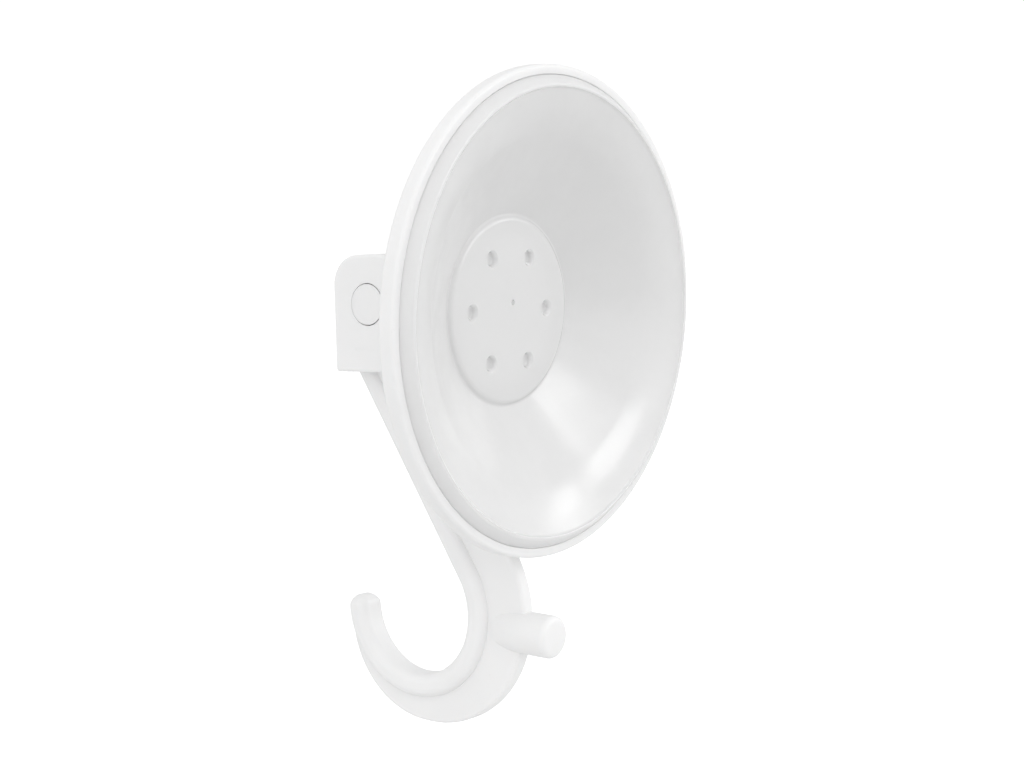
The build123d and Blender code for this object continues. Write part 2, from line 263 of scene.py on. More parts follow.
def ring_edges(bm, radius, depth):
    """The edges of a turned mesh that run round the axis at a radius and a depth."""
    def there(v):
        return abs(math.hypot(v.co.x, v.co.z) - radius) < 1e-6 and abs(v.co.y + depth) < 1e-6
    return [e for e in bm.edges if there(e.verts[0]) and there(e.verts[1])]


def round_off(bm, parts, radius, segments, kind="EDGES", clamp=True):
    """Rounds edges, or the corners of a flat outline if the kind is VERTICES."""
    bmesh.ops.bevel(bm, geom=parts, offset=radius, offset_type="OFFSET", affect=kind, segments=segments, profile=0.5,
                    clamp_overlap=clamp, material=-1)


def move(bm, way):
    """Moves a whole bmesh."""
    bmesh.ops.translate(bm, verts=bm.verts, vec=way)
    return bm


def turned(corners, steps=WIDE_STEPS):
    """A bmesh turned about the suction axis. A corner is (radius, depth) or (radius, depth, rounding, segments), and
    the first and the last lie on the axis."""
    bm = bmesh.new()
    verts = [bm.verts.new((corner[0], -corner[1], 0.0)) for corner in corners]
    edges = [bm.edges.new(pair) for pair in zip(verts, verts[1:])]
    bmesh.ops.spin(bm, geom=verts + edges, cent=(0, 0, 0), axis=(0, 1, 0), angle=math.tau, steps=steps,
                   use_merge=True)
    bmesh.ops.remove_doubles(bm, verts=bm.verts, dist=1e-7)
    bmesh.ops.recalc_face_normals(bm, faces=bm.faces)
    for radius, depth, *rounding in corners:
        if rounding and rounding[0] > 0.0:
            round_off(bm, ring_edges(bm, radius, depth), *rounding)
    return bm


def block(size, place):
    """A bmesh block with its middle at a place."""
    bm = bmesh.new()
    bmesh.ops.create_cube(bm, size=1.0)
    bmesh.ops.scale(bm, verts=bm.verts, vec=size)
    return move(bm, place)


class Pen:
    """Draws a closed outline in the plane X = 0 and makes it a plate. Points are (along Y, along Z)."""

    def __init__(self, start):
        self.bm = bmesh.new()
        self.first = self.last = self.bm.verts.new((0.0, *start))

    def line(self, *points):
        """Draws straight on to each point."""
        for point in points:
            made = self.bm.verts.new((0.0, *point))
            self.bm.edges.new((self.last, made))
            self.last = made
        return self

    def arc(self, centre, angle, steps):
        """Draws round a centre, from +Y towards +Z if the angle is positive."""
        swept = bmesh.ops.spin(self.bm, geom=[self.last], cent=(0.0, *centre), axis=(1, 0, 0), angle=angle,
                               steps=steps)
        self.last = swept["geom_last"][0]
        return self

    def plate(self, half_width, rounding=0.0, segments=4, wide=(), crisp=()):
        """Thickens the outline to both sides and rounds its rims, and the crisp corners' edges with them.
        A wide corner is (point, rounding), in the outline's plane."""
        bm = self.bm
        bm.edges.new((self.last, self.first))
        bmesh.ops.edgeloop_fill(bm, edges=bm.edges)
        for point, radius in wide:
            corner = min(bm.verts, key=lambda v: (v.co.yz - Vector(point)).length)
            round_off(bm, [corner], radius, 10, "VERTICES", clamp=False)
        swept = bmesh.ops.extrude_face_region(bm, geom=bm.faces[:])
        moved = [v for v in swept["geom"] if isinstance(v, bmesh.types.BMVert)]
        bmesh.ops.translate(bm, verts=moved, vec=(2 * half_width, 0, 0))
        move(bm, (-half_width, 0, 0))
        bmesh.ops.recalc_face_normals(bm, faces=bm.faces)
        if rounding > 0.0:
            rims = [e for e in bm.edges if e.verts[0].co.x * e.verts[1].co.x > 0.0]
            for point in crisp:
                rims.append(min((e for e in bm.edges if e not in rims),
                                key=lambda e: (e.verts[0].co.yz - Vector(point)).length))
            round_off(bm, rims, rounding, segments, clamp=False)
        return bm


def polar(centre, radius, angle):
    """A point at an angle from +Y towards +Z."""
    return (centre[0] + radius * math.cos(angle), centre[1] + radius * math.sin(angle))


def along_pin(bm, pin_depth):
    """Turns a bmesh about the suction axis into one about the pivot's axis."""
    bmesh.ops.rotate(bm, verts=bm.verts, cent=(0, 0, 0), matrix=Matrix.Rotation(math.pi / 2, 3, "Z"))
    return move(bm, (0.0, -pin_depth, 0.0))


def as_object(bm, name):
    """A linked object with the bmesh's mesh."""
    mesh = bpy.data.meshes.new(name)
    bm.to_mesh(mesh)
    bm.free()
    made = bpy.data.objects.new(name, mesh)
    bpy.context.scene.collection.objects.link(made)
    return made


def cut(target, bm, operation="DIFFERENCE"):
    """Applies an exact Boolean with a bmesh to the target."""
    cutter = as_object(bm, "cutter")
    change = target.modifiers.new("cut", "BOOLEAN")
    change.operation = operation
    change.solver = "EXACT"
    change.object = cutter
    depsgraph = bpy.context.evaluated_depsgraph_get()
    mesh = bpy.data.meshes.new_from_object(target.evaluated_get(depsgraph))
    target.modifiers.remove(change)
    old = target.data
    target.data = mesh
    mesh.name = old.name
    bpy.data.meshes.remove(old)
    bpy.data.objects.remove(cutter)


def smooth(piece, degrees=32.0):
    """Clears a piece's slivers and shades it smooth, with sharp edges where its faces turn by more than some
    degrees."""
    mesh = piece.data
    bm = bmesh.new()
    bm.from_mesh(mesh)
    bmesh.ops.dissolve_degenerate(bm, dist=SLIVER, edges=bm.edges)
    bm.to_mesh(mesh)
    bm.free()
    mesh.shade_smooth()
    mesh.set_sharp_from_angle(angle=math.radians(degrees))
    weighted = piece.modifiers.new("even normals", "WEIGHTED_NORMAL")
    weighted.keep_sharp = True
    weighted.weight = 60


def seat(piece, material, slot, body, *nodes):
    """Gives a finished piece its material and its body, and hides the CAD nodes that it stands for. The slot argument
    is not used.
    """
    piece.data.materials.clear()
    piece.data.materials.append(material)
    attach(piece, body)
    if nodes:
        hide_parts(*nodes)


class NodeMaker:
    """Adds nodes to a tree in a short way."""

    def __init__(self, tree):
        self.tree = tree

    def add(self, kind, **values):
        node = self.tree.nodes.new(kind)
        for name, value in values.items():
            setattr(node, name, value)
        return node

    def link(self, source, target):
        self.tree.links.new(source, target)

    def put(self, socket, value):
        """Links a socket or sets a plain value."""
        if isinstance(value, bpy.types.NodeSocket):
            self.link(value, socket)
        else:
            socket.default_value = value

    def fill(self, node, **values):
        """Puts values into a node's named inputs, with _ for a space in a name."""
        for name, value in values.items():
            self.put(node.inputs[name.replace("_", " ")], value)
        return node

    def math(self, operation, a, b=0.0):
        node = self.add("ShaderNodeMath", operation=operation)
        self.put(node.inputs[0], a)
        self.put(node.inputs[1], b)
        return node.outputs[0]

    def plus(self, base, value, scale):
        """Adds a scaled value to a base."""
        return self.math("ADD", base, self.math("MULTIPLY", value, scale))

    def ramp(self, value, low, high, to_low=0.0, to_high=1.0, kind="SMOOTHSTEP"):
        """Maps a value from one range to another, smoothly unless another kind is given."""
        node = self.add("ShaderNodeMapRange", interpolation_type=kind)
        for socket, given in zip(node.inputs, (value, low, high, to_low, to_high)):
            self.put(socket, given)
        return node.outputs[0]

    def mix(self, factor, a, b):
        node = self.add("ShaderNodeMix", data_type="RGBA")
        self.put(node.inputs["Factor"], factor)
        self.put(node.inputs[6], a)
        self.put(node.inputs[7], b)
        return node.outputs[2]

    def noise(self, vector, scale, detail=2.0, roughness=0.5, distortion=0.0):
        return self.fill(self.add("ShaderNodeTexNoise"), Vector=vector, Scale=scale, Detail=detail,
                         Roughness=roughness, Distortion=distortion).outputs["Fac"]

    def stretch(self, vector, scale, turn=(0.0, 0.0, 0.0)):
        return self.fill(self.add("ShaderNodeMapping"), Vector=vector, Scale=scale, Rotation=turn).outputs["Vector"]


def group(name, inputs, outputs):
    """A new shader node group with named sockets, its maker and its two end nodes."""
    tree = bpy.data.node_groups.new(name, "ShaderNodeTree")
    for socket, kind, default in inputs:
        made = tree.interface.new_socket(name=socket, in_out="INPUT", socket_type=kind)
        made.default_value = default
    for socket, kind in outputs:
        tree.interface.new_socket(name=socket, in_out="OUTPUT", socket_type=kind)
    maker = NodeMaker(tree)
    return tree, maker, maker.add("NodeGroupInput"), maker.add("NodeGroupOutput")


def moulding_group():
    """The skin of an injection moulding: cloudy colour, a fine grain and slow waves from cooling."""
    tree, n, start, end = group("moulding skin", [
        ("Light", "NodeSocketColor", grey(0.86)),
        ("Shade", "NodeSocketColor", grey(0.82)),
        ("Cloud Scale", "NodeSocketFloat", 60.0),
        ("Grain Scale", "NodeSocketFloat", 2600.0),
        ("Grain Depth", "NodeSocketFloat", 0.35),
        ("Wave Depth", "NodeSocketFloat", 0.6),
        ("Roughness", "NodeSocketFloat", 0.38),
        ("Spread", "NodeSocketFloat", 0.08),
    ], [("Colour", "NodeSocketColor"), ("Roughness", "NodeSocketFloat"), ("Height", "NodeSocketFloat")])
    place = n.add("ShaderNodeTexCoord").outputs["Object"]
    cloud = n.noise(place, start.outputs["Cloud Scale"], detail=3.0, roughness=0.6, distortion=0.4)
    grain = n.noise(place, start.outputs["Grain Scale"], detail=2.0, roughness=0.7)
    wave_scale = n.math("MULTIPLY", start.outputs["Cloud Scale"], 1.7)
    wave = n.noise(place, wave_scale, detail=1.0)
    shade = n.ramp(cloud, 0.3, 0.75)
    n.link(n.mix(shade, start.outputs["Light"], start.outputs["Shade"]), end.inputs["Colour"])
    uneven = n.math("SUBTRACT", n.noise(place, wave_scale, detail=4.0), 0.5)
    n.link(n.plus(start.outputs["Roughness"], uneven, start.outputs["Spread"]), end.inputs["Roughness"])
    height = n.math("MULTIPLY", grain, start.outputs["Grain Depth"])
    n.link(n.plus(height, wave, start.outputs["Wave Depth"]), end.inputs["Height"])
    return tree


def handling_group():
    """What handling leaves: hairline scratches in two directions and a little settled dust."""
    tree, n, start, end = group("handling marks", [
        ("Scratch Amount", "NodeSocketFloat", 0.5),
        ("Dust Amount", "NodeSocketFloat", 0.5),
    ], [("Scratches", "NodeSocketFloat"), ("Dust", "NodeSocketFloat")])
    place = n.add("ShaderNodeTexCoord").outputs["Object"]
    total = None
    for scale, turn in (((90.0, 2600.0, 900.0), (0.3, 0.5, 0.2)), ((2200.0, 120.0, 700.0), (1.1, 0.2, 0.7))):
        line = n.noise(n.stretch(place, scale, turn), 1.0, detail=1.0)
        thin = n.ramp(line, 0.70, 0.76)
        total = thin if total is None else n.math("MAXIMUM", total, thin)
    patch = n.ramp(n.noise(place, 95.0, detail=2.0), 0.5, 0.62)
    scratches = n.math("MULTIPLY", n.math("MULTIPLY", total, patch), start.outputs["Scratch Amount"])
    n.link(scratches, end.inputs["Scratches"])
    specks = n.ramp(n.noise(place, 1500.0, detail=1.0), 0.70, 0.78)
    lying = n.ramp(n.noise(place, 70.0, detail=2.0), 0.42, 0.62)
    n.link(n.math("MULTIPLY", n.math("MULTIPLY", specks, lying), start.outputs["Dust Amount"]), end.inputs["Dust"])
    return tree


def turning_group():
    """Marks that follow a turned moulding: faint rings and flow lines that run out from its centre."""
    tree, n, start, end = group("turning marks", [
        ("Ring Scale", "NodeSocketFloat", 420.0),
        ("Ray Count", "NodeSocketFloat", 5.0),
    ], [("Rings", "NodeSocketFloat"), ("Rays", "NodeSocketFloat"), ("Radius", "NodeSocketFloat")])
    place = n.add("ShaderNodeTexCoord").outputs["Object"]
    split = n.add("ShaderNodeSeparateXYZ")
    n.link(place, split.inputs[0])
    x, z = split.outputs["X"], split.outputs["Z"]
    radius = n.math("SQRT", n.plus(n.math("MULTIPLY", x, x), z, z))
    n.link(radius, end.inputs["Radius"])
    outward = n.add("ShaderNodeCombineXYZ")
    n.link(radius, outward.inputs["X"])
    n.link(n.noise(outward.outputs[0], start.outputs["Ring Scale"], detail=3.0), end.inputs["Rings"])
    safe = n.math("MAXIMUM", radius, 1e-5)
    around = n.add("ShaderNodeCombineXYZ")
    n.link(n.math("DIVIDE", x, safe), around.inputs["X"])
    n.link(n.math("DIVIDE", z, safe), around.inputs["Y"])
    n.link(n.math("MULTIPLY", radius, 12.0), around.inputs["Z"])
    n.link(n.noise(around.outputs[0], start.outputs["Ray Count"], detail=3.0, roughness=0.6), end.inputs["Rays"])
    return tree


def shared(name, maker):
    """A node group that is built once and then reused."""
    return bpy.data.node_groups.get(name) or maker()


def new_material(name):
    """A node material, its maker and its shader."""
    material = bpy.data.materials.new(name)
    material.use_nodes = True
    material.node_tree.nodes.clear()
    n = NodeMaker(material.node_tree)
    shader = n.add("ShaderNodeBsdfPrincipled")
    output = n.add("ShaderNodeOutputMaterial")
    n.link(shader.outputs[0], output.inputs["Surface"])
    return material, n, shader


def use(n, tree, **values):
    """Places a node group with values for its named inputs."""
    return n.fill(n.add("ShaderNodeGroup", node_tree=tree), **values)


def bump(n, shader, height, distance, strength):
    """Feeds a height into the shader's normal."""
    node = n.fill(n.add("ShaderNodeBump"), Strength=strength, Distance=distance, Height=height)
    n.link(node.outputs[0], shader.inputs["Normal"])


def white_moulding(name, finish, light, roughness, grain=0.35, scratches=0.5, rings=False):
    """A satin white moulded plastic."""
    material, n, shader = new_material(name)
    skin = use(n, shared("moulding skin", moulding_group), Light=light, Shade=finish.white_shade, Roughness=roughness,
               Grain_Depth=grain)
    marks = use(n, shared("handling marks", handling_group), Scratch_Amount=scratches, Dust_Amount=0.15)
    base = n.mix(marks.outputs["Dust"], skin.outputs["Colour"], finish.dust)
    height = n.plus(skin.outputs["Height"], marks.outputs["Scratches"], -0.5)
    rough = n.plus(skin.outputs["Roughness"], marks.outputs["Scratches"], 0.15)
    if rings:
        turning = use(n, shared("turning marks", turning_group), Ring_Scale=260.0, Ray_Count=3.0)
        height = n.plus(height, turning.outputs["Rings"], 0.5)
        rough = n.plus(rough, turning.outputs["Rays"], 0.05)
    bump(n, shader, height, 0.02 * MM, 0.5)
    n.fill(shader, Base_Color=base, Roughness=rough, IOR=1.5, Subsurface_Weight=0.2, Subsurface_Radius=(1.0, 0.95, 0.9),
           Subsurface_Scale=1.5 * MM)
    return material


def cup_plastic(s, light, cloud):
    """The clear, slightly milky soft plastic of the cup, duller at its lip and palest on its pad, where painted
    paleness stands in for the lit white stud showing through it.
    """
    material, n, shader = new_material("milky soft plastic")
    skin = use(n, shared("moulding skin", moulding_group), Light=light, Shade=cloud, Roughness=0.2,
               Cloud_Scale=110.0, Grain_Depth=0.1, Wave_Depth=1.0, Spread=0.1)
    turning = use(n, shared("turning marks", turning_group), Ring_Scale=500.0, Ray_Count=4.0)
    streak = n.ramp(turning.outputs["Rays"], 0.45, 0.7, 0.0, 0.5)
    base = n.mix(streak, skin.outputs["Colour"], cloud)
    radius = turning.outputs["Radius"]
    # Painted light: the pad is painted paler than the bowl, standing in for the lit white stud that shows through it,
    # on top of what the real see-through gives.
    painted_pad_brightening = n.ramp(radius, s.pad_radius - 0.7 * MM, s.pad_radius + 0.6 * MM, 0.8, 0.0)
    base = n.mix(painted_pad_brightening, base, grey(1.0))
    matt_edge = n.ramp(radius, s.lip_radius - 0.7 * MM, s.lip_radius - 0.3 * MM, 0.0, 0.14)
    rough = n.math("ADD", skin.outputs["Roughness"], matt_edge)
    height = n.plus(skin.outputs["Height"], turning.outputs["Rings"], 0.7)
    height = n.plus(height, turning.outputs["Rays"], 0.6)
    bump(n, shader, height, 0.05 * MM, 0.6)
    n.fill(shader, Base_Color=base, Roughness=rough, IOR=1.48, Transmission_Weight=0.25, Subsurface_Weight=0.3,
           Subsurface_Radius=(1.0, 1.0, 1.0), Subsurface_Scale=3.0 * MM)
    return material


class HOOK_OT_camera(bpy.types.Operator):
    """Places the camera at the photograph's viewpoint"""
    bl_idname = "hook.camera"
    bl_label = "Camera"

    def execute(self, context):
        data = bpy.data.cameras.new("camera")
        camera = bpy.data.objects.new("camera", data)
        context.scene.collection.objects.link(camera)
        right, up = Vector(CAMERA_RIGHT), Vector(CAMERA_UP)
        back = right.cross(up).normalized()
        up = back.cross(right).normalized()
        right = up.cross(back).normalized()
        turn = Matrix((right, up, back)).transposed()
        camera.matrix_world = Matrix.Translation(CAMERA_PLACE) @ turn.to_4x4()
        data.sensor_width = SENSOR_WIDTH
        data.lens = SENSOR_WIDTH * FOCAL_PER_WIDTH
        data.clip_start = 0.01
        context.scene.camera = camera
        return {"FINISHED"}


class HOOK_OT_stage(bpy.types.Operator):
    """Lays the pale floor and sets the soft lights"""
    bl_idname = "hook.stage"
    bl_label = "Floor and lights"

    def execute(self, context):
        studio = context.scene.hook_studio
        self.floor(studio)
        self.sky(context, studio)
        self.softbox(context, "key light", (-0.38, 0.81, 0.4), (0.44, 0.28), studio.key, 20.0)
        self.softbox(context, "side light", (-0.74, 0.6, 0.3), (0.15, 0.28), studio.side, 0.0)
        self.softbox(context, "fill light", (-0.85, 0.5, 0.1), (0.8, 0.8), studio.fill, 0.0, glossy=False)
        context.scene.view_settings.view_transform = "Standard"
        return {"FINISHED"}

    def floor(self, studio):
        bm = bmesh.new()
        bmesh.ops.create_circle(bm, cap_ends=True, radius=studio.floor_radius, segments=FLOOR_STEPS)
        floor = as_object(move(bm, (0, 0, cad_low.z - studio.floor_drop)), "floor")
        material, n, shader = new_material("pale floor")
        seen = n.add("ShaderNodeLightPath").outputs["Is Camera Ray"]
        split = n.add("ShaderNodeSeparateXYZ")
        n.link(n.add("ShaderNodeTexCoord").outputs["Object"], split.inputs[0])
        far = n.ramp(split.outputs["Y"], 0.0, studio.floor_fade)
        lit = n.mix(far, studio.floor_near, studio.floor_far)
        n.fill(shader, Base_Color=n.mix(seen, lit, studio.floor_seen), Roughness=0.9, Specular_IOR_Level=0.1,
               Emission_Color=grey(1.0), Emission_Strength=n.math("MULTIPLY", seen, studio.floor_glow))
        floor.data.materials.append(material)

    def sky(self, context, studio):
        """A pale room, brighter on one side than on the other. The camera sees plain white."""
        world = bpy.data.worlds.new("room")
        world.use_nodes = True
        world.node_tree.nodes.clear()
        n = NodeMaker(world.node_tree)
        facing = n.add("ShaderNodeVectorMath", operation="DOT_PRODUCT")
        n.link(n.add("ShaderNodeTexCoord").outputs["Generated"], facing.inputs[0])
        facing.inputs[1].default_value = Vector(studio.bright_way).normalized()
        rise = n.ramp(facing.outputs["Value"], -1.0, 1.0, studio.dim, studio.bright, "LINEAR")
        seen = n.add("ShaderNodeLightPath").outputs["Is Camera Ray"]
        strength = n.add("ShaderNodeMix", data_type="FLOAT")
        for socket, value in ((0, seen), (2, rise), (3, studio.backdrop)):
            n.put(strength.inputs[socket], value)
        shine = n.fill(n.add("ShaderNodeBackground"), Color=grey(1.0), Strength=strength.outputs[0])
        n.link(shine.outputs[0], n.add("ShaderNodeOutputWorld").inputs["Surface"])
        context.scene.world = world

    def softbox(self, context, name, direction, size, power, tilt, glossy=True):
        """A rectangular light, 1 m from the origin and facing it, that shows in gloss alone or in all but gloss."""
        data = bpy.data.lights.new(name, "AREA")
        data.shape = "RECTANGLE"
        data.size, data.size_y = size
        data.energy = power
        light = bpy.data.objects.new(name, data)
        context.scene.collection.objects.link(light)
        place = Vector(direction).normalized()
        light.location = place
        turn = place.to_track_quat("Z", "Y") @ Quaternion((0, 0, 1), math.radians(tilt))
        light.rotation_euler = turn.to_euler()
        light.visible_camera = False
        light.visible_diffuse = not glossy
        light.visible_glossy = glossy


class HOOK_OT_cup(bpy.types.Operator):
    """Models the soft cup with its dimples and gate mark, moulded over the stud"""
    bl_idname = "hook.cup"
    bl_label = "Soft cup"

    def execute(self, context):
        s = context.scene.hook_cup
        cup = as_object(self.body(s), "soft_cup")
        for place in self.dimple_places(s):
            cut(cup, self.dimple(s, place))
        cut(cup, self.gate(s))
        cut(cup, self.cavity(s))
        cut(cup, self.post_way(s))
        smooth(cup, 40.0)
        finish = context.scene.hook_finishes
        material = cup_plastic(s, finish.cup, finish.cup_cloud)
        seat(cup, material, "clear_soft_plastic", "cup_and_stud", "suction_cup")
        return {"FINISHED"}

    def body(self, s):
        shoulder = Vector((s.shoulder_radius, s.shoulder_depth))
        foot = Vector((s.pad_radius + s.pad_rise, s.pad_depth + s.pad_rise))
        run = foot - shoulder
        belly = (shoulder + foot) / 2 + Vector((run.y, -run.x)).normalized() * s.belly
        return turned([
            (0.0, s.pad_depth),
            (s.pad_radius, s.pad_depth, 0.5 * MM, 5),
            (foot.x, foot.y, 0.8 * MM, 5),
            (belly.x, belly.y, 5.0 * MM, 10),
            (shoulder.x, shoulder.y, 3.0 * MM, 10),
            (s.lip_radius - s.lip_land - 0.6 * s.lip_step, s.lip_step, 0.2 * MM, 3),
            (s.lip_radius - s.lip_land, 0.0, 0.16 * MM, 4),
            (s.lip_radius, 0.0, 0.24 * MM, 4),
            (s.flange_radius, s.flange_front, 0.08 * MM, 2),
            (s.flange_radius, s.flange_back, 0.3 * MM, 3),
            (s.flange_root, s.flange_back),
            (shoulder.x, shoulder.y + s.wall, 1.5 * MM, 4),
            (foot.x, foot.y + s.wall, 0.4 * MM, 3),
            (s.hub_radius, s.hub_depth, 0.7 * MM, 4),
            (0.0, s.hub_depth),
        ])

    def dimple_places(self, s):
        angles = [math.tau * k / s.dimple_count for k in range(s.dimple_count)]
        return [(s.dimple_circle * math.cos(a), s.dimple_circle * math.sin(a)) for a in angles]

    def dimple(self, s, place):
        """A slightly tapered blind hole with a flared mouth."""
        r, d, past = s.dimple_radius, s.pad_depth, s.pad_depth - CUT_PAST
        mouth, corner = r + 0.4 * MM, 0.25 * MM
        bm = turned([(0.0, d + s.dimple_depth), (r * 0.86, d + s.dimple_depth, corner, 4),
                     (r * 0.97, d + 0.3 * MM, corner, 3), (mouth, d - 0.1 * MM), (mouth, past), (0.0, past)],
                    DIMPLE_STEPS)
        return move(bm, (place[0], 0.0, place[1]))

    def gate(self, s):
        """The shallow ring that the mould's gate leaves, with its nub in the middle."""
        r, d, past, floor = s.gate_radius, s.pad_depth, s.pad_depth - CUT_PAST, s.pad_depth + 0.3 * MM
        bm = turned([(0.0, d + 0.1 * MM), (r * 0.35, d + 0.12 * MM), (r * 0.55, floor), (r * 0.9, floor), (r, d),
                     (r, past), (0.0, past)], DIMPLE_STEPS)
        return move(bm, (-s.gate_aside, 0.0, s.gate_rise))

    def cavity(self, s):
        """The room that the stud's disc fills inside the hub."""
        g = s.moulded_gap
        front, back, radius = s.anchor_front - g, s.anchor_back + g, s.anchor_radius + g
        return turned([(0.0, front), (radius, front), (radius, back), (0.0, back)], BORE_STEPS)

    def post_way(self, s):
        """The way that the stud's post takes out of the hub's back."""
        g, deep = 2 * s.moulded_gap, s.hub_depth + CUT_PAST - s.anchor_back
        return block((s.post_thickness + g, deep, s.post_height + g), (0.0, -(s.anchor_back + deep / 2), 0.0))


class HOOK_OT_dish(bpy.types.Operator):
    """Models the dish with its rim, crown, ribs and the collared hole for the stud's post"""
    bl_idname = "hook.dish"
    bl_label = "Dish"

    def execute(self, context):
        s = context.scene.hook_dish
        seat_radius = s.rim_radius - s.rim_lip
        inside = s.crown_depth - s.wall
        dish = as_object(turned([
            (0.0, inside),
            (s.crown_radius - s.crown_inset, inside, 0.9 * MM, 3),
            (seat_radius - s.seat_ring, s.seat_depth),
            (seat_radius, s.seat_depth),
            (seat_radius, s.rim_front, 0.16 * MM, 3),
            (s.rim_radius, s.rim_front, s.rim_rounding, 5),
            (s.rim_radius, s.rim_back, 0.35 * MM, 3),
            (s.rim_radius - s.back_bevel, s.rim_back + s.back_bevel_depth, 0.4 * MM, 3),
            (s.crown_radius, s.crown_depth, s.crown_rounding, 6),
            (0.0, s.crown_depth),
        ]), "dish")
        cut(dish, self.collar(s, inside), "UNION")
        for k in range(s.rib_count):
            cut(dish, self.rib(s, inside, math.tau * (k + 0.5) / s.rib_count), "UNION")
        cut(dish, self.hole(s, inside))
        smooth(dish)
        finish = context.scene.hook_finishes
        material = white_moulding("dish plastic", finish, finish.white, 0.36, rings=True)
        seat(dish, material, "white_plastic", "dish", "housing")
        return {"FINISHED"}

    def box(self, half_x, near, far, half_z, corner):
        """A block round the suction axis, with rounded upright edges."""
        bm = block((2 * half_x, far - near, 2 * half_z), (0.0, -(near + far) / 2, 0.0))
        round_off(bm, [e for e in bm.edges if abs(e.verts[0].co.y - e.verts[1].co.y) > 1e-6], corner, 4)
        return bm

    def collar(self, s, inside):
        return self.box(s.hole_width / 2 + s.collar_wall, inside - s.collar_height, inside + s.wall / 2,
                        s.hole_height / 2 + s.collar_wall, s.collar_corner)

    def hole(self, s, inside):
        return self.box(s.hole_width / 2, inside - s.collar_height - CUT_PAST, s.crown_depth + CUT_PAST,
                        s.hole_height / 2, s.hole_corner)

    def rib(self, s, inside, angle):
        """A low wedge on the slope's inner face, which runs out towards the rim."""
        slope_top = s.rim_radius - s.rim_lip - s.seat_ring
        crown_inner = s.crown_radius - s.crown_inset
        fall = (inside - s.seat_depth) / (slope_top - crown_inner)

        def slope(radius):
            return s.seat_depth + (slope_top - radius) * fall
        root = crown_inner - 2.0 * MM
        pen = Pen((-(inside + s.wall / 2), root))
        pen.line((-(slope(root) - s.rib_height), root),
                 (-(slope(s.rib_reach) - s.rib_end_height), s.rib_reach - s.rib_height),
                 (-(slope(s.rib_reach) + s.wall / 2), s.rib_reach))
        bm = pen.plate(s.rib_thickness / 2)
        bmesh.ops.rotate(bm, verts=bm.verts, cent=(0, 0, 0), matrix=Matrix.Rotation(angle, 3, "Y"))
        return bm


class HOOK_OT_pin(bpy.types.Operator):
    """Models the pivot pin"""
    bl_idname = "hook.pin"
    bl_label = "Pivot pin"

    def execute(self, context):
        s = context.scene.hook_lever
        end = s.head_half - s.pin_recess
        bm = turned([(0.0, -end), (s.pin_radius, -end, s.pin_rounding, 4), (s.pin_radius, end, s.pin_rounding, 4),
                     (0.0, end)], PIN_STEPS)
        pin = as_object(along_pin(bm, s.pin_depth), "pin")
        smooth(pin)
        finish = context.scene.hook_finishes
        material = white_moulding("pin plastic", finish, finish.pin, 0.34, grain=0.2)
        seat(pin, material, "white_pin_plastic", "cup_and_stud", "pivot_pin")
        return {"FINISHED"}


class HOOK_OT_stud(bpy.types.Operator):
    """Gives the stud inside the cup its finish"""
    bl_idname = "hook.stud"
    bl_label = "Stud"

    def execute(self, context):
        finish = context.scene.hook_finishes
        material = white_moulding("stud plastic", finish, finish.white, 0.45, scratches=0.2)
        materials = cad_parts["stud"].data.materials
        materials.clear()
        materials.append(material)
        return {"FINISHED"}


